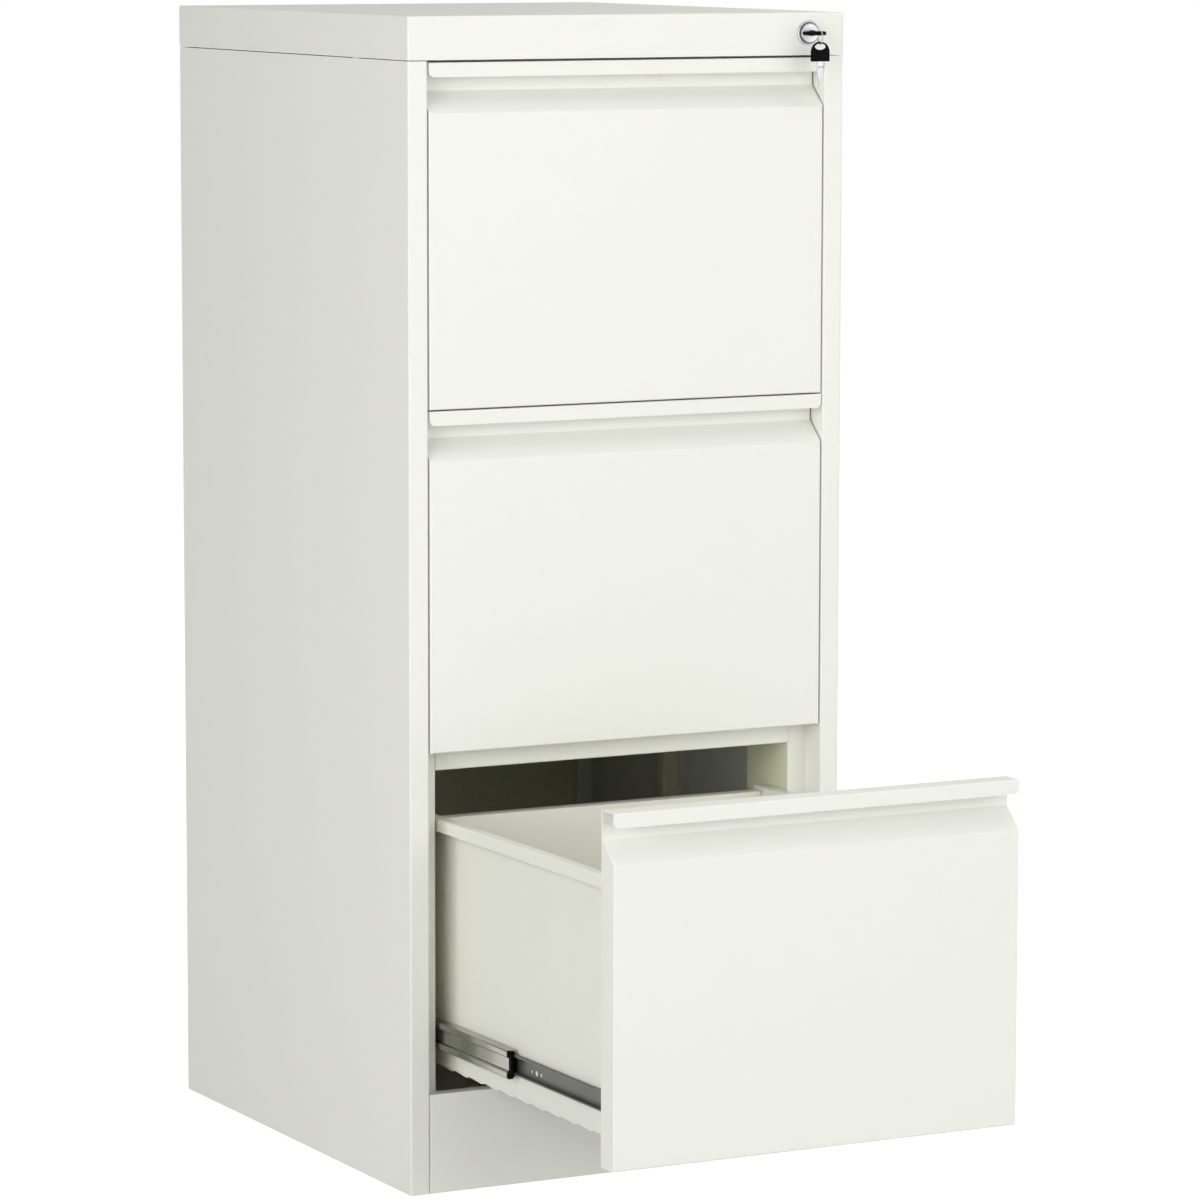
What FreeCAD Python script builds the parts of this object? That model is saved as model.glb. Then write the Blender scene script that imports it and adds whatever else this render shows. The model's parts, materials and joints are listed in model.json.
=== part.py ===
import FreeCAD, Part

import math
import os

from FreeCAD import Vector

# Three-drawer filing cabinet of folded sheet steel, in millimetres.
# Frame: the origin is the middle of the base on the floor, +Z up, +X to the right, the front faces -Y.
# The two upper drawers are shut and the lowest one is pulled out.

# Outside of the cabinet
WIDTH = 430.0                 # over the top cover
DEPTH = 494.0                 # over the top cover
COVER_HEIGHT = 37.7
COVER_OVERHANG = 0.3          # top cover past the body on every side
COVER_SEAM = 0.7              # shadow line under the top cover
COVER_LIP = 12.0              # return flange round the cover's lower edge
PLINTH_HEIGHT = 88.4
PLINTH_SET_BACK = 0.3         # plinth behind the stiles
PLINTH_SIDE_GAP = 0.15        # between the plinth and a stile
SHEET = 0.8                   # sheet of every panel
PAN_SHEET = 1.0               # sheet of the base pan
BEND = 1.3                    # middle radius of a fold
STILE = 18.6                  # front face of a side panel
RECESS = 26.0                 # drawer opening behind the front faces
FLANGE = 18.7                 # opening edge inward of the stile
POST_WIDTH = 15.0             # folded post in each rear corner
POST_DEPTH = 12.0
LEDGE_DROP = 2.8              # opening ledge below the plinth's front edge
RAIL_HEIGHT = 25.3            # cross rail between two openings
OPENING_DROP = 18.2           # opening's top edge below the top of its front
RAIL_DEPTH = 22.0
PAN_RIM = 20.0

# Drawers
DRAWERS = ("bottom", "middle", "top")
FRONT_HEIGHT = 298.9
FRONT_GAP = 1.3               # between two fronts
PLINTH_GAP = 2.6              # under the lowest front
COVER_GAP = 2.0               # over the highest front
SIDE_GAP = 1.7                # between a front and a stile
FRONT_THICKNESS = 22.0
GRIP_DEPTH = 20.0             # finger recess behind the front face
LIP_HEIGHT = 12.5
LIP_THICKNESS = 1.6
LIP_CORNER = 5.0
GRIP_WALL = 24.8              # top of the front down to the slope
GRIP_SLOPE = 18.7             # height of the slope
LINER_FLANGE = 10.0
LINER_FIT = 0.2
TRAY_LIFT = 13.0              # tray floor above the front's lower edge
TRAY_HEIGHT = 224.5
TRAY_SHORT = 4.3              # tray's rear end ahead of the slide's
RIM_WIDTH = 11.0
RIM_DROP = 10.4
BACK_DROP = 3.7               # back panel below the rims
BACK_INSET = 15.0             # back panel ahead of the tray's rear end
BACK_SLOT = 1.6               # slot in the tray's sides over the back panel
BACK_FLANGE = 12.0
BACK_FIT = 0.2
RIB_PITCH = 29.5
RIB_DEPTH = 1.6
RIB_CREST = 22.0              # run of a rib's long slope
RIB_MARGIN = 12.0
SHORT_OF_FULL = 7.7           # the open drawer stops this far short of full travel

# Ball-bearing slides
SLIDE_THICKNESS = 12.7
SLIDE_SETBACK = 35.7          # slide's front end behind the opening plane
REAR_SPACE = 81.7             # slide's rear end to the back of the cabinet
SLIDE_LEVEL = 44.0            # slide centre above the front's lower edge
STEEL = 1.2
OUTER_HALF = 17.5             # half heights of the three members
MIDDLE_HALF = 12.3
INNER_HALF = 8.5
OUTER_FLANGE = 9.0
MIDDLE_START = 1.7            # middle member's raceways from the upright's face
MIDDLE_END = 11.0
MIDDLE_STEP = 2.1             # web between the raceways, set back towards the drawer
MIDDLE_LIP = 3.4              # lips of the middle member, down from its top and up from its foot
RACEWAY = 6.6
INNER_START = 6.6
BALL_FIT = 0.15
CAGE_SHEET = 0.5
CAGE_WIDTH = 3.0
CAGE_MARGIN = 9.0
BALLS = 6
BUMPER_REACH = 4.6            # plastic end piece past the middle member
BUMPER_DEPTH = 14.0
BUMPER_PLAY = 0.4             # between the end piece and the inner member
WEB_CUTBACK = 3.0
RELEASE_AT = (126.0, 134.5, 143.5)       # holes behind the inner member's front end
RELEASE_SIZE = ((5.5, 3.6), (7.0, 4.8), (4.6, 3.6))
RELEASE_DROP = 1.8

# Uprights and brackets
UPRIGHT_DEPTH = 77.0
REAR_UPRIGHT_AHEAD = 107.6    # rear upright's front face ahead of the slide's rear end
REAR_UPRIGHT_DEPTH = 11.8
REAR_UPRIGHT_REACH = 15.0
UPRIGHT_FOOT = 10.0
BRACKET_LENGTH = 44.0
BRACKET_HALF = 13.0
BRACKET_SHEET = 1.0

# Lock and lock bar
LOCK_FROM_SIDE = 36.2         # lock axis from the cover's right side
LOCK_FROM_TOP = 18.1
BEZEL_RADIUS = 11.2
BEZEL_THICKNESS = 2.4
BARREL_RADIUS = 9.5
BARREL_LENGTH = 20.0
PLUG_FACE_RADIUS = 8.4
PLUG_PROUD = 1.4
PLUG_RADIUS = 6.0
LOCK_FIT = 0.1
NUT_RADIUS = 13.0
NUT_THICKNESS = 3.0
CAM_SHEET = 2.0
CAM_ARM = 8.0
CAM_HUB = 7.0
CAM_TIP = 4.0
PIN_RADIUS = 2.0
PIN_PLAY = 0.6                # lock bar's slot round the cam pin
SCREW_HEAD = 2.2
KEY_WIDTH = 18.0
KEY_LENGTH = 17.4
KEY_THICKNESS = 3.3
KEY_HOLE = (12.0, 5.3)
KEY_WEB = 1.8                 # head's edge outside the hole
KEY_COLLAR = 2.9
BLADE_WIDTH = 6.6
BLADE_THICKNESS = 2.0
BLADE_LENGTH = 20.0
BAR_SHEET = 2.0
BAR_WIDTH = 14.0
BAR_BEHIND_OPENING = 8.7      # lock bar's front face behind the opening plane
BAR_FROM_FACE = 2.6
TAB_REACH = 9.4               # tab past the upright's face
TAB_HEIGHT = 10.0
TAB_LEVEL = 145.0             # unlocked tab above the front's lower edge
CATCH_CLEAR_Y = 4.0
CATCH_CLEAR_Z = 3.0
CATCH_REACH = 9.6
CATCH_HEIGHT = 12.0
CATCH_BASE = 22.0
GUIDE_HEIGHT = 12.0
GUIDE_WALL = 3.0
GUIDE_PLAY = 0.5

# Levelling feet
FOOT_RADIUS = 11.0
FOOT_HEIGHT = 4.0
FOOT_STUD = 4.0
FOOT_STUD_HEIGHT = 26.0
FOOT_RETRACT = 0.3
FOOT_CLEAR = 1.5
FOOT_PLATE = 38.0
FOOT_PLATE_THICKNESS = 5.0
FOOT_INSET_X = 60.0
FOOT_INSET_FRONT = 70.0
FOOT_INSET_REAR = 52.0

# Rivets
RIVET_RADIUS = 2.6
RIVET_HEAD = 0.9
BACK_RIVETS = 8
DRAWER_RIVET_INSET = 20.0     # from the middle and from the rear end of the inner member

# Places worked out from the sizes above
half_body = WIDTH / 2 - COVER_OVERHANG
front_y = -DEPTH / 2 + COVER_OVERHANG
back_y = DEPTH / 2 - COVER_OVERHANG
stile_x = half_body - STILE
face_x = stile_x - FLANGE
opening_y = front_y + RECESS
lowest_front = PLINTH_HEIGHT + PLINTH_GAP
pitch = FRONT_HEIGHT + FRONT_GAP
fronts_top = lowest_front + len(DRAWERS) * pitch - FRONT_GAP
cover_z = fronts_top + COVER_GAP
height = cover_z + COVER_HEIGHT
ledge_z = PLINTH_HEIGHT - LEDGE_DROP
front_half = stile_x - SIDE_GAP
tray_half = face_x - SLIDE_THICKNESS
slide_front = opening_y + SLIDE_SETBACK
slide_rear = back_y - REAR_SPACE
slide_length = slide_rear - slide_front
travel = slide_length
rear_upright_y = slide_rear - REAR_UPRIGHT_AHEAD
rear_upright_x = half_body - SHEET - REAR_UPRIGHT_REACH
rail_drop = LEDGE_DROP + PLINTH_GAP
upright_rear = opening_y + UPRIGHT_DEPTH
lock_x = WIDTH / 2 - LOCK_FROM_SIDE
lock_z = height - LOCK_FROM_TOP
cover_front = -DEPTH / 2
bar_y = opening_y + BAR_BEHIND_OPENING
bar_x = face_x + BAR_FROM_FACE
pin_offset = CAM_ARM * math.sin(math.radians(45))
bar_lift = 2 * pin_offset
barrel_rear = cover_front + BARREL_LENGTH
cam_y = barrel_rear + 0.5
plug_face_y = cover_front - BEZEL_THICKNESS - PLUG_PROUD


def front_bottom(index):
    """Height of a drawer front's lower edge."""
    return lowest_front + index * pitch


def opening(index):
    """How far a drawer stands open."""
    return travel - SHORT_OF_FULL if index == 0 else 0.0


def point(plane, a, b, c=0.0):
    """A point from two coordinates in a plane and one along its normal."""
    if plane == "xy":
        return Vector(a, b, c)
    if plane == "xz":
        return Vector(a, c, b)
    return Vector(c, a, b)


def along(plane, length):
    return {"xy": Vector(0, 0, length), "xz": Vector(0, length, 0), "yz": Vector(length, 0, 0)}[plane]


def box(x0, x1, y0, y1, z0, z1):
    low = Vector(min(x0, x1), min(y0, y1), min(z0, z1))
    return Part.makeBox(abs(x1 - x0), abs(y1 - y0), abs(z1 - z0), low)


def prism(plane, points, start, end):
    """A polygon in a plane, carried along its normal from start to end."""
    corners = [point(plane, a, b, start) for a, b in points]
    face = Part.Face(Part.makePolygon(corners + corners[:1]))
    return face.extrude(along(plane, end - start))


def cylinder(centre, axis, radius, length):
    return Part.makeCylinder(radius, length, centre, axis)


def fused(shapes):
    shape = shapes[0].fuse(shapes[1:]) if len(shapes) > 1 else shapes[0]
    return shape.removeSplitter()


def mirrored(shape):
    """The same piece on the other side of the cabinet."""
    return shape.mirror(Vector(0, 0, 0), Vector(1, 0, 0))


def pair(shape):
    """A right piece and its left mirror image as two solids."""
    return Part.makeCompound([shape, mirrored(shape)])


def unit(start, end):
    dx, dy = end[0] - start[0], end[1] - start[1]
    length = math.hypot(dx, dy)
    return dx / length, dy / length


def side_of_band(points, shift, radius):
    """Edges of a folded line moved sideways by shift, as plain 2-D moves: lines, and arcs with a middle."""
    first = unit(points[0], points[1])
    moves = [("to", (points[0][0] - first[1] * shift, points[0][1] + first[0] * shift))]
    for before, corner, after in zip(points, points[1:], points[2:]):
        d1, d2 = unit(before, corner), unit(corner, after)
        cross = d1[0] * d2[1] - d1[1] * d2[0]
        turn = math.atan2(cross, d1[0] * d2[0] + d1[1] * d2[1])
        reach = radius * math.tan(abs(turn) / 2)
        bisector = unit(d1, d2)
        away = radius / math.cos(turn / 2)
        centre = (corner[0] + bisector[0] * away, corner[1] + bisector[1] * away)
        arc = radius - shift * math.copysign(1, turn)
        start = (corner[0] - d1[0] * reach - d1[1] * shift, corner[1] - d1[1] * reach + d1[0] * shift)
        end = (corner[0] + d2[0] * reach - d2[1] * shift, corner[1] + d2[1] * reach + d2[0] * shift)
        middle = (centre[0] - bisector[0] * arc, centre[1] - bisector[1] * arc)
        moves.append(("to", start))
        moves.append(("arc", middle, end))
    last = unit(points[-2], points[-1])
    moves.append(("to", (points[-1][0] - last[1] * shift, points[-1][1] + last[0] * shift)))
    return moves


def band(plane, points, thickness, start, end, radius=BEND):
    """Sheet folded along a line of points, seen end on and carried along the plane's normal."""
    left = side_of_band(points, thickness / 2, radius)
    right = side_of_band(points[::-1], thickness / 2, radius)
    edges = []
    here = left[0][1]
    for move in left[1:] + right + left[:1]:
        there = move[-1]
        if math.dist(here, there) < 1e-6:
            continue
        a, b = point(plane, *here, start), point(plane, *there, start)
        if move[0] == "arc":
            edges.append(Part.Arc(a, point(plane, *move[1], start), b).toShape())
        else:
            edges.append(Part.LineSegment(a, b).toShape())
        here = there
    face = Part.Face(Part.Wire(edges))
    return face.extrude(along(plane, end - start))


def slot(centre, length, width, depth_x):
    """A round-ended slot along Y, cut through a sheet that faces X."""
    x, y, z = centre
    radius = width / 2
    run = length / 2 - radius
    body = box(x, x + depth_x, y - run, y + run, z - radius, z + radius)
    ends = [cylinder(Vector(x, y + s * run, z), Vector(1, 0, 0), radius, depth_x) for s in (-1, 1)]
    return fused([body] + ends)


def side_panel():
    """Right side: skin, front stile with its return, and the box post folded along the rear edge."""
    skin = half_body - SHEET / 2
    half = SHEET / 2
    line = [
        (stile_x + half, opening_y),
        (stile_x + half, front_y + half),
        (skin, front_y + half),
        (skin, back_y - half),
        (half_body - POST_WIDTH, back_y - half),
        (half_body - POST_WIDTH, back_y - POST_DEPTH + half),
        (skin - half - 0.05, back_y - POST_DEPTH + half),
    ]
    return band("xy", line, SHEET, 0, cover_z - COVER_SEAM)


def front_upright():
    """Right front upright: opening flange, face that carries the slides, return and foot on the skin."""
    half = SHEET / 2
    skin = half_body - SHEET
    line = [
        (skin, opening_y + half),
        (face_x + half, opening_y + half),
        (face_x + half, upright_rear - half),
        (skin - half, upright_rear - half),
        (skin - half, upright_rear + UPRIGHT_FOOT),
    ]
    return band("xy", line, SHEET, PAN_SHEET, cover_z)


def slotted_upright():
    """Right front upright with a slot for each tab of the lock bar."""
    shape = front_upright()
    play = GUIDE_PLAY + 0.5
    for index in range(len(DRAWERS)):
        low = front_bottom(index) + TAB_LEVEL - play
        high = low + TAB_HEIGHT + bar_lift + 2 * play
        shape = shape.cut(box(face_x - 1, face_x + 2, bar_y - play, bar_y + BAR_SHEET + play, low, high))
    return shape


def rear_upright():
    """Right rear upright: a narrow hat section on the skin."""
    half = SHEET / 2
    skin = half_body - SHEET
    front, rear = rear_upright_y, rear_upright_y + REAR_UPRIGHT_DEPTH
    line = [
        (skin - half, front - UPRIGHT_FOOT),
        (skin - half, front + half),
        (rear_upright_x + half, front + half),
        (rear_upright_x + half, rear - half),
        (skin - half, rear - half),
        (skin - half, rear + UPRIGHT_FOOT),
    ]
    return band("xy", line, SHEET, PAN_SHEET, cover_z - COVER_SEAM - 10)


def back_panel():
    """Back panel between the rear posts, with flanges folded forward."""
    half = SHEET / 2
    edge = half_body - POST_WIDTH - half
    sheet_y = back_y - SHEET - half
    front = back_y - POST_DEPTH
    line = [(-edge + half, front), (-edge + half, sheet_y), (edge - half, sheet_y), (edge - half, front)]
    panel = band("xy", line, SHEET, 0, cover_z)
    foot = box(-edge + SHEET, edge - SHEET, front, sheet_y - half, 0, SHEET)
    return fused([panel, foot])


def top_cover():
    """Top cover: a pan open below, with rounded edges, a return flange and the lock's hole."""
    outer = box(-WIDTH / 2, WIDTH / 2, -DEPTH / 2, DEPTH / 2, cover_z, height)
    edges = [e for e in outer.Edges if e.BoundBox.ZMax > cover_z + 1e-6]
    outer = outer.makeFillet(BEND + SHEET / 2, edges)
    x, y = WIDTH / 2 - SHEET, DEPTH / 2 - SHEET
    inner = box(-x, x, -y, y, cover_z + SHEET, height - SHEET)
    inner = inner.makeFillet(BEND - SHEET / 2, inner.Edges)
    hollow = box(-x + COVER_LIP, x - COVER_LIP, -y + COVER_LIP, y - COVER_LIP, cover_z - 1, cover_z + 2 * SHEET)
    hole = cylinder(Vector(lock_x, cover_front - 1, lock_z), Vector(0, 1, 0), BARREL_RADIUS + LOCK_FIT, 4)
    return outer.cut(inner).cut(hollow).cut(hole)


def plinth_panel():
    """Plinth: front face, hemmed top edge, ledge of the lowest opening and its rear flange."""
    half = SHEET / 2
    y0 = front_y + PLINTH_SET_BACK
    edge = stile_x - PLINTH_SIDE_GAP
    foot = box(-edge, edge, y0, opening_y, 0, SHEET)
    face = band("yz", [(opening_y, half), (y0 + half, half), (y0 + half, PLINTH_HEIGHT - half),
                       (y0 + SHEET + half + 0.6, PLINTH_HEIGHT - half)], SHEET, -edge, edge, 0.6)
    hem = box(-edge, edge, y0 + SHEET, y0 + 2 * SHEET, ledge_z - SHEET, PLINTH_HEIGHT - half)
    ledge = band("yz", [(y0 + SHEET, ledge_z - half), (opening_y - half, ledge_z - half),
                        (opening_y - half, ledge_z - PAN_RIM)], SHEET, -edge, edge, 0.6)
    return fused([face, hem, ledge, foot])


def foot_places():
    left_right = (-(half_body - FOOT_INSET_X), half_body - FOOT_INSET_X)
    return [(x, y) for x in left_right for y in (front_y + FOOT_INSET_FRONT, back_y - FOOT_INSET_REAR)]


def base_pan():
    """Base pan behind the plinth: flat floor with its rim turned up and a hole for each levelling foot."""
    skin = half_body - SHEET
    y0, y1 = opening_y + SHEET, back_y - POST_DEPTH
    outer = box(-skin, skin, y0, y1, 0, PAN_RIM)
    inner = box(-skin + PAN_SHEET, skin - PAN_SHEET, y0 + PAN_SHEET, y1 - PAN_SHEET, PAN_SHEET, PAN_RIM + 1)
    pan = outer.cut(inner)
    for side in (-1, 1):
        for y, depth in ((opening_y, UPRIGHT_DEPTH + UPRIGHT_FOOT), (rear_upright_y - UPRIGHT_FOOT,
                                                                    REAR_UPRIGHT_DEPTH + 2 * UPRIGHT_FOOT)):
            notch = box(side * (skin - PAN_SHEET), side * (skin + 1), y, y + depth, PAN_SHEET, PAN_RIM + 1)
            pan = pan.cut(notch)
        front = box(side * (face_x - 1), side * (skin + 1), y0 - 1, y0 + PAN_SHEET, PAN_SHEET, PAN_RIM + 1)
        pan = pan.cut(front)
    for x, y in foot_places():
        pan = pan.cut(cylinder(Vector(x, y, -1), Vector(0, 0, 1), FOOT_RADIUS + FOOT_CLEAR, PAN_SHEET + 2))
    return pan


def levelling_feet():
    """Four feet screwed up into the base: a disc and its threaded stud."""
    feet = []
    for x, y in foot_places():
        disc = cylinder(Vector(x, y, FOOT_RETRACT), Vector(0, 0, 1), FOOT_RADIUS, FOOT_HEIGHT)
        disc = disc.makeChamfer(0.6, [e for e in disc.Edges if isinstance(e.Curve, Part.Circle)])
        stud = cylinder(Vector(x, y, FOOT_RETRACT + 1), Vector(0, 0, 1), FOOT_STUD, FOOT_STUD_HEIGHT)
        feet.append(fused([disc, stud]))
    return Part.makeCompound(feet)


def foot_plates():
    """Threaded plate over each foot, bridging its hole on two short legs."""
    plates = []
    low = PAN_SHEET + FOOT_HEIGHT + FOOT_CLEAR
    half = FOOT_PLATE / 2
    for x, y in foot_places():
        plate = box(x - half, x + half, y - half, y + half, low, low + FOOT_PLATE_THICKNESS)
        legs = [box(x + s * half, x + s * (half - 3), y - half, y + half, PAN_SHEET, low + 1) for s in (-1, 1)]
        hole = cylinder(Vector(x, y, low - 1), Vector(0, 0, 1), FOOT_STUD + 0.05, FOOT_PLATE_THICKNESS + 2)
        plates.append(fused([plate] + legs).cut(hole))
    return Part.makeCompound(plates)


def rail(low, high):
    """Rail across the cabinet in the opening plane: a channel open to the rear."""
    half = SHEET / 2
    rear = opening_y + RAIL_DEPTH
    line = [(rear, low + half), (opening_y + half, low + half), (opening_y + half, high - half),
            (rear, high - half)]
    return band("yz", line, SHEET, -face_x, face_x)


def cross_rails():
    """Rails between the openings, and the one over the highest drawer, up to the top cover."""
    rails = []
    for index in range(1, len(DRAWERS)):
        low = front_bottom(index) - FRONT_GAP - (FRONT_HEIGHT - opening_height())
        rails.append(rail(low, low + RAIL_HEIGHT))
    rails.append(rail(front_bottom(len(DRAWERS) - 1) + opening_height(), cover_z))
    return Part.makeCompound(rails)


def opening_height():
    """From a front's lower edge up to its opening's top edge."""
    return FRONT_HEIGHT - OPENING_DROP


def slide_bracket(index):
    """Right rear slide bracket: an angle from the rear upright to the slide."""
    level = front_bottom(index) + SLIDE_LEVEL
    plate = box(face_x, face_x + BRACKET_SHEET, rear_upright_y - BRACKET_SHEET,
                rear_upright_y + BRACKET_LENGTH, level - BRACKET_HALF, level + BRACKET_HALF)
    web = box(face_x, half_body - SHEET - UPRIGHT_FOOT / 4, rear_upright_y - BRACKET_SHEET,
              rear_upright_y, level - BRACKET_HALF, level + BRACKET_HALF)
    return fused([plate, web])


def slide_brackets():
    shapes = [slide_bracket(index) for index in range(len(DRAWERS))]
    return Part.makeCompound(shapes + [mirrored(shape) for shape in shapes])


def from_face(u):
    """X of a plane inside the right slide, measured from the upright's face towards the drawer."""
    return face_x - u


def channel(start, end, half, y0, y1, level, web_at_start):
    """A slide member of C section, with its web at one side of its depth."""
    edge = STEEL / 2
    web = start + edge if web_at_start else end - edge
    tip = end if web_at_start else start
    line = [(from_face(tip), half - edge), (from_face(web), half - edge),
            (from_face(web), -half + edge), (from_face(tip), -half + edge)]
    return band("xz", [(x, z + level) for x, z in line], STEEL, y0, y1, 0.9)


def slide_outer(level):
    """Outer member, fixed to the upright and the rear bracket."""
    return channel(0, OUTER_FLANGE, OUTER_HALF, slide_front, slide_rear, level, True)


def slide_middle(level):
    """Middle member: lips and two raceways, joined by a web that is set back between them."""
    edge = STEEL / 2
    raceway, web = from_face(MIDDLE_START + edge), from_face(MIDDLE_START + MIDDLE_STEP + edge)
    lip = from_face(MIDDLE_END - edge)
    top, step = MIDDLE_HALF - edge, MIDDLE_HALF - RACEWAY
    upper = [(lip, MIDDLE_HALF - MIDDLE_LIP), (lip, top), (raceway, top), (raceway, step + 1.2), (web, step)]
    line = upper + [(x, -z) for x, z in reversed(upper)]
    return band("xz", [(x, z + level) for x, z in line], STEEL, slide_front, slide_rear, 0.75)


def slide_inner(level):
    """Inner member, fixed to the drawer: notched web at the front and the release holes."""
    shape = channel(INNER_START, SLIDE_THICKNESS, INNER_HALF, slide_front, slide_rear, level, False)
    web = from_face(SLIDE_THICKNESS)
    notch = box(web - 1, web + 2 * STEEL, slide_front - 1, slide_front + WEB_CUTBACK,
                level - INNER_HALF + 2 * STEEL, level + INNER_HALF - 2 * STEEL)
    shape = shape.cut(notch)
    for place, (length, width) in zip(RELEASE_AT, RELEASE_SIZE):
        centre = (web - 1, slide_front + place, level - RELEASE_DROP)
        shape = shape.cut(slot(centre, length, width, 2 * STEEL + 1))
    return shape


def bumper(level):
    """Plastic end piece in the middle member's front end, with a knob at its top and its foot."""
    web = MIDDLE_START + MIDDLE_STEP
    front = slide_front - BUMPER_REACH
    behind_inner = INNER_START - BUMPER_PLAY
    stem = box(from_face(web), from_face(behind_inner), front, slide_front,
               level - INNER_HALF, level + INNER_HALF)
    half = MIDDLE_HALF - RACEWAY - STEEL
    tongue = box(from_face(web + STEEL), from_face(behind_inner), slide_front - 1, slide_front + BUMPER_DEPTH,
                 level - half, level + half)
    knobs = []
    radius = (MIDDLE_HALF - INNER_HALF - BUMPER_PLAY) / 2
    for side in (-1, 1):
        z = level + side * (MIDDLE_HALF - radius)
        knobs.append(cylinder(Vector(from_face(MIDDLE_START), front + radius, z), Vector(-1, 0, 0), radius,
                              behind_inner - MIDDLE_START))
        knobs.append(box(from_face(web), from_face(behind_inner), front, slide_front,
                         level + side * (INNER_HALF - 1), z))
    return fused([stem, tongue] + knobs)


def ball_cage(level, rows, u_centre, radius):
    """Strips of balls above and below, one pair of strips for one slide."""
    start = slide_front + slide_length / 4 + CAGE_MARGIN
    length = slide_length / 2 - 2 * CAGE_MARGIN
    x = from_face(u_centre)
    strips = []
    for side in (-1, 1):
        z = level + side * rows
        strip = box(x - CAGE_WIDTH / 2, x + CAGE_WIDTH / 2, start, start + length,
                    z - CAGE_SHEET / 2, z + CAGE_SHEET / 2)
        gap = length / BALLS
        balls = [Part.makeSphere(radius, Vector(x, start + gap * (n + 0.5), z)) for n in range(BALLS)]
        strips.append(fused([strip] + balls))
    return Part.makeCompound(strips)


def outer_cage(level):
    space = (OUTER_HALF - STEEL - MIDDLE_HALF) / 2
    middle = (MIDDLE_START + OUTER_FLANGE) / 2
    return ball_cage(level, MIDDLE_HALF + space, middle, space - BALL_FIT)


def inner_cage(level):
    space = (MIDDLE_HALF - STEEL - INNER_HALF) / 2
    middle = (INNER_START + MIDDLE_END - STEEL) / 2
    return ball_cage(level, INNER_HALF + space, middle, space - BALL_FIT)


def front_section(inset, rear):
    """Corners of the drawer front's section inside its skin, as distance behind the face and height."""
    slope_top = FRONT_HEIGHT - GRIP_WALL
    slope_low = slope_top - GRIP_SLOPE
    lean = math.atan2(GRIP_DEPTH, GRIP_SLOPE)
    low = slope_low - inset * math.tan(lean / 2)
    high = slope_top - inset * math.tan(lean / 2)
    return [(inset, inset), (inset, low), (GRIP_DEPTH + inset, high),
            (GRIP_DEPTH + inset, FRONT_HEIGHT + 1), (rear, FRONT_HEIGHT + 1), (rear, inset)]


def drawer_front():
    """Front skin at Z 0 and Y 0: face, slope and wall of the finger recess, top flange, lip, side returns."""
    outer = front_section(0, FRONT_THICKNESS)
    outer = [(y, min(z, FRONT_HEIGHT)) for y, z in outer]
    inner = front_section(SHEET, FRONT_THICKNESS + 1)
    body = prism("yz", outer, -front_half, front_half)
    verticals = [e for e in body.Edges if abs(e.BoundBox.YMax) < 1e-6 and e.BoundBox.ZLength > 1]
    slopes = [e for e in body.Edges
              if e.BoundBox.XLength > 1 and e.BoundBox.ZLength < 1e-6 and 1 < e.BoundBox.ZMin < FRONT_HEIGHT - 1]
    low = [e for e in body.Edges if e.BoundBox.XLength > 1 and e.BoundBox.ZMax < 1e-6 and e.BoundBox.YMax < 1e-6]
    body = body.makeFillet(BEND, verticals + slopes + low)
    hollow = prism("yz", inner, -front_half + SHEET, front_half - SHEET)
    skin = body.cut(hollow)
    flange = box(-front_half, front_half, 0, FRONT_THICKNESS, FRONT_HEIGHT - SHEET, FRONT_HEIGHT)
    lip = box(-front_half, front_half, 0, LIP_THICKNESS, FRONT_HEIGHT - LIP_HEIGHT, FRONT_HEIGHT)
    corners = [e for e in lip.Edges
               if e.BoundBox.YLength > 1 and e.BoundBox.ZMax < FRONT_HEIGHT - 1]
    lip = lip.makeFillet(LIP_CORNER, corners)
    shape = fused([skin, flange, lip])
    top = [e for e in shape.Edges
           if e.BoundBox.XLength > 2 * front_half - 2 and abs(e.BoundBox.ZMax - FRONT_HEIGHT) < 1e-6
           and abs(e.BoundBox.YMax) < 1e-6]
    return shape.makeFillet(BEND, top)


def drawer_liner():
    """Liner pan that closes the front from behind, its flanges folded forward inside the skin."""
    edge = front_half - SHEET - LINER_FIT - SHEET / 2
    rear = FRONT_THICKNESS - SHEET / 2
    low, high = SHEET + LINER_FIT, FRONT_HEIGHT - SHEET - LINER_FIT
    plate = box(-edge, edge, rear - SHEET / 2, rear + SHEET / 2, low, high)
    slope_low = FRONT_HEIGHT - GRIP_WALL - GRIP_SLOPE
    sides = [box(s * (edge + SHEET / 2), s * (edge - SHEET / 2), rear - LINER_FLANGE, rear + SHEET / 2,
                 low, slope_low) for s in (-1, 1)]
    foot = box(-edge, edge, rear - LINER_FLANGE, rear, low, low + SHEET)
    return fused([plate, foot] + sides)


def tray_length():
    return slide_rear - TRAY_SHORT - (front_y + FRONT_THICKNESS)


def rib(y, level, cover, edge):
    """Wedge of one pressed rib, hanging from the level and reaching up by the cover."""
    upper = [(y + RIB_PITCH, level + cover), (y, level + cover)] if cover else []
    crest = (y + RIB_PITCH - RIB_CREST, level - RIB_DEPTH)
    return prism("yz", [(y, level), crest, (y + RIB_PITCH, level)] + upper, -edge, edge)


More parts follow.
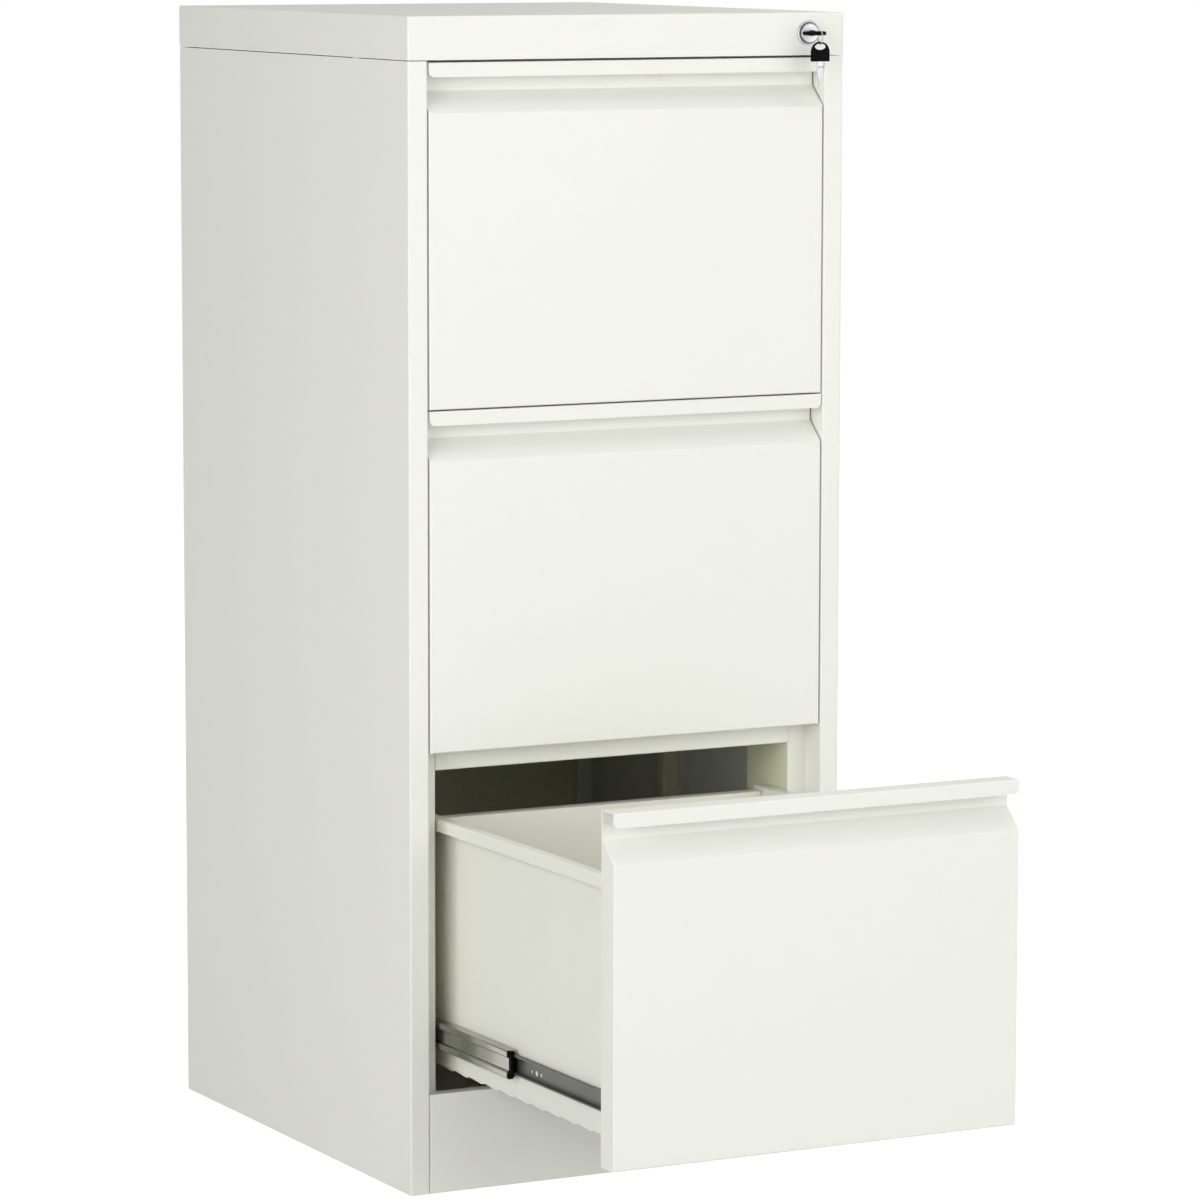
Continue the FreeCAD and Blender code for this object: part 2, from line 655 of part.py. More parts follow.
def drawer_tray():
    """Tray in one sheet: floor, two sides and their rims folded outward; ribs pressed across the floor."""
    half = SHEET / 2
    side = tray_half - half
    low = TRAY_LIFT + half
    high = TRAY_LIFT + TRAY_HEIGHT - half
    rim = side + RIM_WIDTH
    line = [(-rim, high - RIM_DROP), (-rim, high), (-side, high), (-side, low),
            (side, low), (side, high), (rim, high), (rim, high - RIM_DROP)]
    y0 = FRONT_THICKNESS
    shape = band("xz", line, SHEET, y0, y0 + tray_length())
    count = int((tray_length() - 2 * RIB_MARGIN) // RIB_PITCH)
    starts = [y0 + RIB_MARGIN + n * RIB_PITCH for n in range(count)]
    edge = tray_half - BEND
    shape = fused([shape] + [rib(y, TRAY_LIFT, half, edge) for y in starts])
    for y in starts:
        shape = shape.cut(rib(y, TRAY_LIFT + SHEET, 0, edge - SHEET))
    slot_y = y0 + tray_length() - BACK_INSET - BACK_SLOT
    slot_top = high - BEND
    for side in (-1, 1):
        shape = shape.cut(box(side * (tray_half - SHEET - 1), side * (tray_half + 1), slot_y, slot_y + BACK_SLOT,
                              slot_top - BACK_DROP, slot_top))
    return shape


def drawer_back():
    """Back panel of the tray, with flanges folded to the rear at its sides, foot and top."""
    edge = tray_half - SHEET - BACK_FIT
    y0 = FRONT_THICKNESS + tray_length() - BACK_INSET - SHEET
    low = TRAY_LIFT + SHEET
    high = TRAY_LIFT + TRAY_HEIGHT - BACK_DROP
    half = SHEET / 2
    line = [(-edge + half, y0 + BACK_FLANGE), (-edge + half, y0 + half), (edge - half, y0 + half),
            (edge - half, y0 + BACK_FLANGE)]
    panel = band("xy", line, SHEET, low + BEND, high - BEND)
    folds = [(y0 + BACK_FLANGE, low + half), (y0 + half, low + half), (y0 + half, high - half),
             (y0 + BACK_FLANGE, high - half)]
    return fused([panel, band("yz", folds, SHEET, -edge + BEND, edge - BEND)])


def drawer_catch():
    """Catch on the tray's right side: a base plate and the ear that the lock bar's tab holds."""
    ear_y = bar_y + BAR_SHEET + CATCH_CLEAR_Y - front_y
    low = TAB_LEVEL + TAB_HEIGHT + CATCH_CLEAR_Z
    plate = box(tray_half, tray_half + STEEL, ear_y, ear_y + CATCH_BASE, low, low + CATCH_HEIGHT)
    ear = box(tray_half, tray_half + CATCH_REACH, ear_y, ear_y + STEEL, low, low + CATCH_HEIGHT)
    return fused([plate, ear])


def drawer_rivets():
    """Rivets that hold the rear half of each inner slide member to the tray."""
    heads = []
    web = from_face(SLIDE_THICKNESS - STEEL)
    for side in (-1, 1):
        for place in (slide_length / 2 + DRAWER_RIVET_INSET, slide_length - DRAWER_RIVET_INSET):
            y = slide_front + place - front_y
            start = Vector(side * web, y, SLIDE_LEVEL)
            heads.append(cylinder(start, Vector(side, 0, 0), RIVET_RADIUS, RIVET_HEAD))
    return Part.makeCompound(heads)


def placed(shape, index):
    """A drawer piece modelled at its front's lower edge, set in the cabinet as far open as it stands."""
    return shape.translated(Vector(0, front_y - opening(index), front_bottom(index)))


def lock_barrel():
    """Lock housing: round bezel, recess for the plug's face and the threaded barrel."""
    axis = Vector(0, 1, 0)
    bezel_y = cover_front - BEZEL_THICKNESS
    bezel = cylinder(Vector(lock_x, bezel_y, lock_z), axis, BEZEL_RADIUS, BEZEL_THICKNESS)
    bezel = bezel.makeFillet(1.1, [e for e in bezel.Edges if e.BoundBox.YMax < bezel_y + 1e-6])
    barrel = cylinder(Vector(lock_x, cover_front - 0.5, lock_z), axis, BARREL_RADIUS, BARREL_LENGTH + 0.5)
    seat = cylinder(Vector(lock_x, bezel_y - 1, lock_z), axis, PLUG_FACE_RADIUS + 0.35, 1 + BEZEL_THICKNESS)
    bore = cylinder(Vector(lock_x, bezel_y - 1, lock_z), axis, PLUG_RADIUS + LOCK_FIT / 2, BARREL_LENGTH + 5)
    return fused([bezel, barrel]).cut(seat).cut(bore)


def lock_nut():
    """Hexagon nut behind the cover's front."""
    corners = [(lock_x + NUT_RADIUS * math.cos(math.radians(60 * n + 30)),
                lock_z + NUT_RADIUS * math.sin(math.radians(60 * n + 30))) for n in range(6)]
    y0 = cover_front + SHEET
    nut = prism("xz", corners, y0, y0 + NUT_THICKNESS)
    hole = cylinder(Vector(lock_x, y0 - 1, lock_z), Vector(0, 1, 0), BARREL_RADIUS + LOCK_FIT / 2,
                    NUT_THICKNESS + 2)
    return nut.cut(hole)


def keyway():
    half_width, half_height = BLADE_WIDTH / 2 + 0.2, BLADE_THICKNESS / 2 + 0.15
    return box(lock_x - half_width, lock_x + half_width, plug_face_y - 1, plug_face_y + BLADE_LENGTH + 1.5,
               lock_z - half_height, lock_z + half_height)


def lock_plug():
    """Turning plug: round face proud of the bezel, shaft and keyway."""
    axis = Vector(0, 1, 0)
    face = cylinder(Vector(lock_x, plug_face_y, lock_z), axis, PLUG_FACE_RADIUS, PLUG_PROUD + 1.6)
    face = face.makeFillet(0.8, [e for e in face.Edges if e.BoundBox.YMax < plug_face_y + 1e-6])
    shaft = cylinder(Vector(lock_x, plug_face_y + 1, lock_z), axis, PLUG_RADIUS - LOCK_FIT / 2,
                     cam_y - plug_face_y - 1)
    return fused([face, shaft]).cut(keyway())


def lock_cam():
    """Cam on the plug's rear end, with the pin that lifts the lock bar."""
    axis = Vector(0, 1, 0)
    x, z = lock_x + pin_offset, lock_z - pin_offset
    hub = cylinder(Vector(lock_x, cam_y, lock_z), axis, CAM_HUB, CAM_SHEET)
    tip = cylinder(Vector(x, cam_y, z), axis, CAM_TIP, CAM_SHEET)
    root = math.radians(-45 + 90)
    arm_half = CAM_TIP
    dx, dz = arm_half * math.cos(root), arm_half * math.sin(root)
    arm = prism("xz", [(lock_x + dx, lock_z + dz), (x + dx, z + dz), (x - dx, z - dz),
                       (lock_x - dx, lock_z - dz)], cam_y, cam_y + CAM_SHEET)
    pin = cylinder(Vector(x, cam_y, z), axis, PIN_RADIUS, bar_y + BAR_SHEET + 2 - cam_y)
    return fused([hub, arm, tip, pin])


def cam_screw():
    """Screw head that holds the cam."""
    head = cylinder(Vector(lock_x, cam_y + CAM_SHEET, lock_z), Vector(0, 1, 0), 3.2, SCREW_HEAD)
    recess = box(lock_x - 2.4, lock_x + 2.4, cam_y + CAM_SHEET + SCREW_HEAD - 1, cam_y + CAM_SHEET + 9,
                 lock_z - 0.5, lock_z + 0.5)
    return head.cut(recess)


def key_blade():
    """Blade of the key in the plug, lying flat, with its bitted edge."""
    half = BLADE_WIDTH / 2
    y0 = plug_face_y - 2.0
    y1 = plug_face_y + BLADE_LENGTH
    teeth = [(lock_x + half, y0), (lock_x + half, y0 + 6)]
    for n, depth in enumerate((1.4, 0.6, 1.8, 1.0, 1.6)):
        y = y0 + 7.5 + 2.6 * n
        teeth.append((lock_x + half - depth, y))
        teeth.append((lock_x + half - 0.4, y + 1.3))
    outline = teeth + [(lock_x + half - 2.4, y1), (lock_x - half + 1.6, y1), (lock_x - half, y1 - 2),
                       (lock_x - half, y0)]
    return prism("xy", outline, lock_z - BLADE_THICKNESS / 2, lock_z + BLADE_THICKNESS / 2)


def key_head():
    """Moulded key head: an arch with an oval hole, and the collar next to the plug."""
    y0 = plug_face_y - 1.4
    half = KEY_WIDTH / 2
    centre_y = y0 - (KEY_LENGTH - half)
    low = lock_z - KEY_THICKNESS / 2
    arch = cylinder(Vector(lock_x, centre_y, low), Vector(0, 0, 1), half, KEY_THICKNESS)
    block = box(lock_x - half, lock_x + half, centre_y, y0, low, low + KEY_THICKNESS)
    head = fused([arch, block])
    head = head.makeFillet(0.7, [e for e in head.Edges if e.BoundBox.ZLength < 1e-6])
    hole_y = y0 - KEY_LENGTH + KEY_WEB + KEY_HOLE[1] / 2
    run = (KEY_HOLE[0] - KEY_HOLE[1]) / 2
    hole = [box(lock_x - run, lock_x + run, hole_y - KEY_HOLE[1] / 2, hole_y + KEY_HOLE[1] / 2, low - 1, low + 9)]
    for side in (-1, 1):
        hole.append(cylinder(Vector(lock_x + side * run, hole_y, low - 1), Vector(0, 0, 1), KEY_HOLE[1] / 2, 10))
    collar = cylinder(Vector(lock_x, y0 - 4, lock_z), Vector(0, 1, 0), KEY_COLLAR, 4 + 1.2)
    slot_for_blade = box(lock_x - BLADE_WIDTH / 2, lock_x + BLADE_WIDTH / 2, plug_face_y - 2.0, plug_face_y + 1,
                         lock_z - BLADE_THICKNESS / 2, lock_z + BLADE_THICKNESS / 2)
    return fused([head.cut(fused(hole)), collar]).cut(slot_for_blade)


def lock_bar():
    """Lock bar in the right upright: a strip with a slot for the cam pin."""
    y0, y1 = bar_y, bar_y + BAR_SHEET
    low = front_bottom(0) + TAB_LEVEL - 30
    high = lock_z - pin_offset + PIN_RADIUS + 5
    shape = box(bar_x, bar_x + BAR_WIDTH, y0, y1, low, high)
    play = PIN_RADIUS + PIN_PLAY
    z = lock_z - pin_offset
    pin_slot = box(lock_x + pin_offset - play, lock_x + CAM_ARM + play, y0 - 1, y1 + 1, z - play, z + play)
    return shape.cut(pin_slot)


def lock_bar_tabs():
    """Tabs welded to the bar's edge, one for each drawer, reaching out through the upright's slots."""
    levels = [front_bottom(index) + TAB_LEVEL for index in range(len(DRAWERS))]
    return Part.makeCompound([box(face_x - TAB_REACH, bar_x, bar_y, bar_y + BAR_SHEET, z, z + TAB_HEIGHT)
                              for z in levels])


def lock_bar_guides():
    """Guides on the upright's face, each a block with a slot round the bar."""
    guides = []
    for index in range(len(DRAWERS)):
        z = front_bottom(index) + TAB_LEVEL + 60
        x0, x1 = face_x + SHEET, bar_x + BAR_WIDTH + GUIDE_WALL
        block = box(x0, x1, bar_y - GUIDE_WALL, bar_y + BAR_SHEET + GUIDE_WALL, z, z + GUIDE_HEIGHT)
        hole = box(bar_x - GUIDE_PLAY, bar_x + BAR_WIDTH + GUIDE_PLAY, bar_y - GUIDE_PLAY,
                   bar_y + BAR_SHEET + GUIDE_PLAY, z - 1, z + GUIDE_HEIGHT + 1)
        guides.append(block.cut(hole))
    return Part.makeCompound(guides)


def cabinet_rivets():
    """Rivets down the back panel's edges, and those of the slides and their brackets."""
    heads = []
    step = (cover_z - 80) / (BACK_RIVETS - 1)
    x = half_body - POST_WIDTH - SHEET - 8
    for side in (-1, 1):
        for n in range(BACK_RIVETS):
            start = Vector(side * x, back_y - SHEET, 40 + n * step)
            heads.append(cylinder(start, Vector(0, 1, 0), RIVET_RADIUS, RIVET_HEAD))
        for index in range(len(DRAWERS)):
            level = front_bottom(index) + SLIDE_LEVEL
            for y in (slide_front + 12, slide_front + 30):
                start = Vector(side * (face_x + SHEET), y, level)
                heads.append(cylinder(start, Vector(side, 0, 0), RIVET_RADIUS, RIVET_HEAD))
            for y in (rear_upright_y + 14, rear_upright_y + 32):
                start = Vector(side * (face_x + BRACKET_SHEET), y, level)
                heads.append(cylinder(start, Vector(side, 0, 0), RIVET_RADIUS, RIVET_HEAD))
    return Part.makeCompound(heads)


def save(name, shape):
    shape.exportStep(f"parts/{name}.step")


def build_cabinet():
    right = side_panel()
    save("right_side_panel", right)
    save("left_side_panel", mirrored(right))
    save("right_front_upright", slotted_upright())
    save("left_front_upright", mirrored(front_upright()))
    save("rear_uprights", pair(rear_upright()))
    save("back_panel", back_panel())
    save("top_cover", top_cover())
    save("plinth_panel", plinth_panel())
    save("base_pan", base_pan())
    save("levelling_feet", levelling_feet())
    save("foot_plates", foot_plates())
    save("cross_rails", cross_rails())
    save("slide_brackets", slide_brackets())
    save("cabinet_rivets", cabinet_rivets())


def build_lock():
    save("lock_barrel", lock_barrel())
    save("lock_nut", lock_nut())
    save("lock_plug", lock_plug())
    save("lock_cam", lock_cam())
    save("cam_screw", cam_screw())
    save("key_blade", key_blade())
    save("key_head", key_head())
    save("lock_bar", lock_bar())
    save("lock_bar_tabs", lock_bar_tabs())
    save("lock_bar_guides", lock_bar_guides())


def build_slides(name, index):
    """One drawer's pair of slides, each member as far out as the drawer's opening takes it."""
    level = front_bottom(index) + SLIDE_LEVEL
    members = (
        ("slide_outers", slide_outer, 0),
        ("slide_middles", slide_middle, 1 / 2),
        ("slide_inners", slide_inner, 1),
        ("slide_bumpers", bumper, 1 / 2),
        ("outer_ball_cages", outer_cage, 1 / 4),
        ("inner_ball_cages", inner_cage, 3 / 4),
    )
    for title, make, share in members:
        shape = make(level).translated(Vector(0, -share * opening(index), 0))
        solids = shape.Solids
        save(f"{name}_{title}", Part.makeCompound(solids + [mirrored(solid) for solid in solids]))


def build_drawers():
    front, liner, tray, back = drawer_front(), drawer_liner(), drawer_tray(), drawer_back()
    catch, rivets = drawer_catch(), drawer_rivets()
    pieces = (("front", front), ("liner", liner), ("tray", tray), ("back", back), ("catch", catch),
              ("rivets", rivets))
    for index, name in enumerate(DRAWERS):
        for title, shape in pieces:
            save(f"{name}_drawer_{title}", placed(shape, index))
        build_slides(name, index)


os.makedirs("parts", exist_ok=True)
build_cabinet()
build_lock()
build_drawers()
print("height", round(height, 2), "slide", round(slide_length, 2), "travel", round(travel, 2),
      "bar lift", round(bar_lift, 3), "lowest opening", round(opening(0), 2))
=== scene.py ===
import json

import bpy
import numpy as np
from mathutils import Matrix, Vector


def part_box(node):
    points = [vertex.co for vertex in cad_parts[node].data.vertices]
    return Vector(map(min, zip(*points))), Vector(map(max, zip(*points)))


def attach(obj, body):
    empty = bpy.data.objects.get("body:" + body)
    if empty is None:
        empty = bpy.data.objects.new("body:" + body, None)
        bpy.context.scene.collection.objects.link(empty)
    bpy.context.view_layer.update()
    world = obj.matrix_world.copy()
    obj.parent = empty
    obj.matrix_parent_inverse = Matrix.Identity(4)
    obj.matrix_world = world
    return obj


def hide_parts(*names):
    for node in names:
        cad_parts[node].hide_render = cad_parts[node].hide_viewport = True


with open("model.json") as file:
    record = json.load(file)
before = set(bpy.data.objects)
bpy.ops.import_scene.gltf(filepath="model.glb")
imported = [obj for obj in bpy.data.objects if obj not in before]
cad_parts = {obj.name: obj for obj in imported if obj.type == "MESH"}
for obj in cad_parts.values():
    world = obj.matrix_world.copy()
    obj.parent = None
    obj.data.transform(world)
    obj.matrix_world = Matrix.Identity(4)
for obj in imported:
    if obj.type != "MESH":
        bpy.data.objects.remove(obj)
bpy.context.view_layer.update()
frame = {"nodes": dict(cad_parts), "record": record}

# Filing cabinet with three drawers: the finishes of its sheets, slides and lock, and the keys on their ring
MM = 0.001


# Camera: where the photograph was taken from, in metres and radians, with its lens in millimetres
CAMERA_PLACE = (-2.24377, -4.48329, 1.13291)
CAMERA_YAW = 0.48177
CAMERA_PITCH = -0.12815
CAMERA_ROLL = 0.00166
CAMERA_LENS = 164.13
CAMERA_SENSOR = 36.0
CAMERA_REACH = 50


def add_camera():
    """Camera looking along yaw and pitch, turned by roll about its own axis."""
    yaw, pitch, roll = CAMERA_YAW, CAMERA_PITCH, CAMERA_ROLL
    ahead = np.array([np.sin(yaw) * np.cos(pitch), np.cos(yaw) * np.cos(pitch), np.sin(pitch)])
    right = np.array([np.cos(yaw), -np.sin(yaw), 0.0])
    up = np.cross(right, ahead)
    right, up = right * np.cos(roll) + up * np.sin(roll), up * np.cos(roll) - right * np.sin(roll)
    data = bpy.data.cameras.new("camera")
    data.lens = CAMERA_LENS
    data.sensor_width = CAMERA_SENSOR
    data.clip_end = CAMERA_REACH
    camera = bpy.data.objects.new("camera", data)
    turned = Matrix(np.column_stack([right, up, -ahead]).tolist()).to_4x4()
    camera.matrix_world = Matrix.Translation(CAMERA_PLACE) @ turned
    bpy.context.scene.collection.objects.link(camera)
    bpy.context.scene.camera = camera


class Signal:
    """A shader socket that Python's operators work on."""

    def __init__(self, shader, socket):
        self.shader = shader
        self.socket = socket

    def maths(self, operation, first, second):
        return self.shader.node("ShaderNodeMath", {"operation": operation}, {0: first, 1: second})

    def __add__(self, other):
        return self.maths("ADD", self, other)

    def __sub__(self, other):
        return self.maths("SUBTRACT", self, other)

    def __rsub__(self, other):
        return self.maths("SUBTRACT", other, self)

    def __mul__(self, other):
        return self.maths("MULTIPLY", self, other)

    __radd__ = __add__
    __rmul__ = __mul__


class Shader:
    """The nodes of one material or of the world."""

    def __init__(self, tree):
        self.tree = tree

    def node(self, kind, settings=None, inputs=None, output=0):
        """A node of this kind, its settings set first, then its sockets' values or links."""
        node = self.tree.nodes.new(kind)
        for name, value in (settings or {}).items():
            setattr(node, name, value)
        self.feed(node, inputs or {})
        return Signal(self, node.outputs[output])

    def feed(self, node, inputs):
        """Links each socket to its signal, or sets it to its plain value."""
        for name, value in inputs.items():
            if isinstance(value, Signal):
                self.tree.links.new(value.socket, node.inputs[name])
            else:
                node.inputs[name].default_value = value


class Finish(Shader):
    """A material being made: its nodes, and the principled surface at their end."""

    def __init__(self, name):
        self.material = bpy.data.materials.new(name)
        self.material.use_nodes = True
        super().__init__(self.material.node_tree)
        self.surface = self.tree.nodes["Principled BSDF"]

    def finish(self, **inputs):
        """Sets the principled surface's sockets, named with _ for a space."""
        self.feed(self.surface, {name.replace("_", " "): value for name, value in inputs.items()})
        return self.material

    def place(self, scale=(1, 1, 1)):
        """Where a point is on the object, times scale."""
        where = self.node("ShaderNodeTexCoord", output="Object")
        return self.node("ShaderNodeMapping", {}, {"Vector": where, "Scale": scale})

    def noise(self, count, stretch=(1, 1, 1), detail=2.0, roughness=0.5):
        """Cloudy pattern with about this count of bumps in a metre, drawn out where stretch is small."""
        return self.node("ShaderNodeTexNoise", {}, {"Vector": self.place(stretch), "Scale": count,
                                                   "Detail": detail, "Roughness": roughness}, "Fac")

    def pick(self, value, low, high):
        """0 below low, 1 above high, and even in between."""
        return self.node("ShaderNodeMapRange", {"clamp": True}, {"Value": value, "From Min": low,
                                                                 "From Max": high})

    def mix(self, factor, first, second):
        """The first colour at factor 0, the second at factor 1."""
        colours = {6: first, 7: second}
        colours = {k: v if isinstance(v, Signal) else (*v, 1) for k, v in colours.items()}
        return self.node("ShaderNodeMix", {"data_type": "RGBA"}, {0: factor, **colours}, 2)

    def bump(self, height, depth, strength=1.0):
        """Normal of a surface raised by depth, in metres, where height is 1; strength eases it."""
        return self.node("ShaderNodeBump", {}, {"Height": height, "Distance": depth, "Strength": strength})


def shade(colour, factor):
    """A colour made lighter or darker by a factor."""
    return tuple(channel * factor for channel in colour)


# Grain of the finishes: counts in a metre, depths in metres
PEEL = 1150
PEEL_DEPTH = 0.00006
GRIT = 3400
DUST = 55
PAINT_CLOUD = 6.5
ROLLED_LINES = 1500
LINE_DEPTH = 0.00003
PLATING_CLOUD = 38
GREASE = 24
SCRATCHES = 2600
HAZE = 220
HAZE_DEPTH = 0.00002
SPARK_GRAIN = 2100
SPARK_DEPTH = 0.00005
RUBBED_PATCHES = 130

# Width of the turn from the outside tone to the painted shade inside (a warmer tint for light bounced round
# inside), at the opening and at the back, in metres
FRONT_TURN = 0.0002
BACK_TURN = 0.0001


def powder_coat(name, colour, roughness, inside=None, depths=None):
    """Baked powder coat: a fine orange peel, broad uneven tone, and dust that dulls it in patches.

    Between the two depths the tone turns to inside: painted shade, a warmer, yellower tone that stands in for
    light bounced round inside the cabinet."""
    s = Finish(name)
    peel = s.noise(PEEL, detail=3)
    grit = s.noise(GRIT, detail=1)
    cloud = s.noise(PAINT_CLOUD, detail=3)
    dust = s.pick(s.noise(DUST, detail=5, roughness=0.65), 0.52, 0.75)
    tone = s.mix(cloud, shade(colour, 0.985), shade(colour, 1.012))
    tone = s.mix(s.pick(grit, 0.62, 0.80) * 0.35, tone, shade(colour, 0.90))
    tone = s.mix(dust * 0.10, tone, shade(colour, 0.93))
    if inside:
        first, last = depths
        depth = s.node("ShaderNodeSeparateXYZ", {}, {"Vector": s.place()}, "Y")
        past_front = s.pick(depth, first, first + FRONT_TURN)
        past_back = s.pick(depth, last - BACK_TURN, last)
        # Painted shade: between the depths the tone turns to the warm tint of light bounced round inside
        tone = s.mix(past_front * (1 - past_back), tone, inside)
    return s.finish(
        Base_Color=tone,
        Roughness=roughness + 0.07 * dust + 0.05 * peel,
        Normal=s.bump(peel + 0.35 * grit, PEEL_DEPTH, 0.55),
        Specular_IOR_Level=0.42,
    )


def plated_steel(name, dark, bright, roughness, grain, mottle=1.0):
    """Rolled and zinc-plated strip: fine lines along its length, cloudy plating and smears of grease.

    The lines run along the axis where grain is smallest. Mottle scales clouds, smears and relief."""
    s = Finish(name)
    lines = s.noise(ROLLED_LINES, stretch=grain, detail=4, roughness=0.7)
    cloud = s.noise(PLATING_CLOUD, stretch=grain, detail=4)
    grease = s.pick(s.noise(GREASE, detail=4, roughness=0.7), 0.50, 0.68)
    tone = s.mix(s.pick(lines, 0.3, 0.7), dark, bright)
    tone = s.mix(s.pick(cloud, 0.35, 0.75) * 0.45 * mottle, tone, shade(bright, 1.12))
    tone = s.mix(grease * 0.40 * mottle, tone, shade(dark, 0.55))
    return s.finish(
        Base_Color=tone,
        Metallic=0.92,
        Roughness=roughness + 0.10 * mottle * cloud - 0.08 * mottle * grease,
        Normal=s.bump(lines, LINE_DEPTH, 0.45 * mottle),
    )


def polished_nickel(name, colour, roughness):
    """Plated and polished, with hairline scratches and a thin haze."""
    s = Finish(name)
    scratches = s.pick(s.noise(SCRATCHES, stretch=(1, 0.05, 1), detail=2), 0.66, 0.72)
    haze = s.noise(HAZE, detail=4)
    return s.finish(
        Base_Color=s.mix(haze, shade(colour, 0.90), colour),
        Metallic=1.0,
        Roughness=roughness + 0.12 * haze + 0.15 * scratches,
        Normal=s.bump(haze, HAZE_DEPTH, 0.3),
    )


def moulded_plastic(name, colour, worn, roughness, gloss):
    """Moulded plastic with a spark-eroded grain, and a second tone where it has been rubbed."""
    s = Finish(name)
    grain = s.noise(SPARK_GRAIN, detail=2)
    rubbed = s.pick(s.noise(RUBBED_PATCHES, detail=4, roughness=0.7), 0.50, 0.72)
    return s.finish(
        Base_Color=s.mix(rubbed * 0.5, colour, worn),
        Roughness=roughness - 0.10 * rubbed + 0.08 * grain,
        Normal=s.bump(grain, SPARK_DEPTH, 0.5),
        Specular_IOR_Level=gloss,
    )


# Finishes by the record's material slots
OFF_WHITE = (0.865, 0.870, 0.806)
# Painted shade: the warmer, yellower tone of the sheets inside stands in for light bounced round inside the
# cabinet
INSIDE_BOUNCE_SHADE = (0.820, 0.815, 0.600)
TRAY_WHITE = (0.850, 0.855, 0.770)
COAT_ROUGHNESS = 0.46
finishes = {
    "front_paint": powder_coat("powder_coat_fronts", OFF_WHITE, COAT_ROUGHNESS),
    "body_paint": powder_coat("powder_coat_body", OFF_WHITE, COAT_ROUGHNESS),
    "tray_paint": powder_coat("powder_coat_trays", TRAY_WHITE, 0.50),
    "slide_steel": plated_steel("slide_strip", dark=(0.175, 0.178, 0.165), bright=(0.225, 0.228, 0.213),
                                roughness=0.50, grain=(1, 0.02, 1)),
    "cage_steel": plated_steel("cage_strip", dark=(0.30, 0.30, 0.28), bright=(0.48, 0.48, 0.45),
                               roughness=0.25, grain=(1, 0.05, 1)),
    "zinc": plated_steel("zinc_plated", dark=(0.34, 0.35, 0.35), bright=(0.52, 0.53, 0.52),
                         roughness=0.38, grain=(1, 1, 0.05)),
    "lock_chrome": polished_nickel("lock_nickel", (0.60, 0.615, 0.63), 0.40),
    "key_steel": polished_nickel("key_nickel", (0.54, 0.565, 0.59), 0.40),
    "black_plastic": moulded_plastic("black_plastic", colour=(0.002, 0.002, 0.002),
                                     worn=(0.006, 0.006, 0.006), roughness=0.60, gloss=0.06),
    "white_plastic": moulded_plastic("white_plastic", colour=(0.72, 0.72, 0.68),
                                     worn=(0.60, 0.60, 0.56), roughness=0.45, gloss=0.45),
}
rolled_middle = plated_steel("rolled_middle_member", dark=(0.36, 0.36, 0.325), bright=(0.43, 0.43, 0.39),
                             roughness=0.17, grain=(1, 0.012, 1), mottle=0.3)

# The sheets inside carry painted shade, a warmer tone for light bounced round inside, from behind the opening's
# edge to just short of the outer back
OPENING_EDGE = 0.0012
OUTER_BACK = 0.0002
INSIDE_NODES = ("left_front_upright", "right_front_upright", "rear_uprights", "back_panel")
INSIDE_DEPTHS = (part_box("right_front_upright")[0][1] + OPENING_EDGE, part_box("back_panel")[1][1] - OUTER_BACK)
inside_bounce_shade_coat = powder_coat("powder_coat_inside_bounce_shade", OFF_WHITE, COAT_ROUGHNESS, INSIDE_BOUNCE_SHADE, INSIDE_DEPTHS)


def dress_frame():
    """Every CAD node takes the finish of its material slot, apart from the slides' bright middle members
    and the sheets inside, which carry painted shade: a warmer tone for light bounced round inside."""
    slots = {piece["node"]: piece["material_slot"] for piece in frame["record"]["subparts"]}
    for name, node in frame["nodes"].items():
        finish = finishes[slots[name]]
        if name.endswith("_slide_middles"):
            finish = rolled_middle
        elif name in INSIDE_NODES:
            finish = inside_bounce_shade_coat
        node.data.materials.clear()
        node.data.materials.append(finish)


def grid_faces(rows, columns, wrap_rows, wrap_columns):
    """Quads of a grid of points, joined up end to end where it wraps."""
    r = np.arange(rows if wrap_rows else rows - 1)
    c = np.arange(columns if wrap_columns else columns - 1)
    r0, c0 = (a.ravel() for a in np.meshgrid(r, c, indexing="ij"))
    r1, c1 = (r0 + 1) % rows, (c0 + 1) % columns
    quads = [r0 * columns + c0, r1 * columns + c0, r1 * columns + c1, r0 * columns + c1]
    return np.column_stack(quads).tolist()


def capped_faces(rows, columns):
    """Faces of rows of closed sections, with a flat cap on the first and the last row."""
    last = (rows - 1) * columns
    first_cap = list(range(columns))
    last_cap = list(range(last + columns - 1, last - 1, -1))
    return grid_faces(rows, columns, False, True) + [first_cap, last_cap]


def add_piece(name, points, faces, body, finish):
    """A smooth mesh in millimetres, in the object's frame, that rides on a body."""
    mesh = bpy.data.meshes.new(name)
    mesh.from_pydata((points.reshape(-1, 3) * MM).tolist(), [], faces)
    mesh.polygons.foreach_set("use_smooth", np.full(len(mesh.polygons), True))
    mesh.materials.append(finishes[finish])
    mesh.update()
    piece = bpy.data.objects.new(name, mesh)
    bpy.context.scene.collection.objects.link(piece)
    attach(piece, body)
    return piece


def one_turn(count):
    """Angles evenly spaced over one turn, without its end."""
    return np.linspace(0, 2 * np.pi, count + 1)[:-1]


def box_in_mm(node):
    """Lowest and highest corner of a node, in millimetres."""
    return [np.array(corner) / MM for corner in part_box(node)]


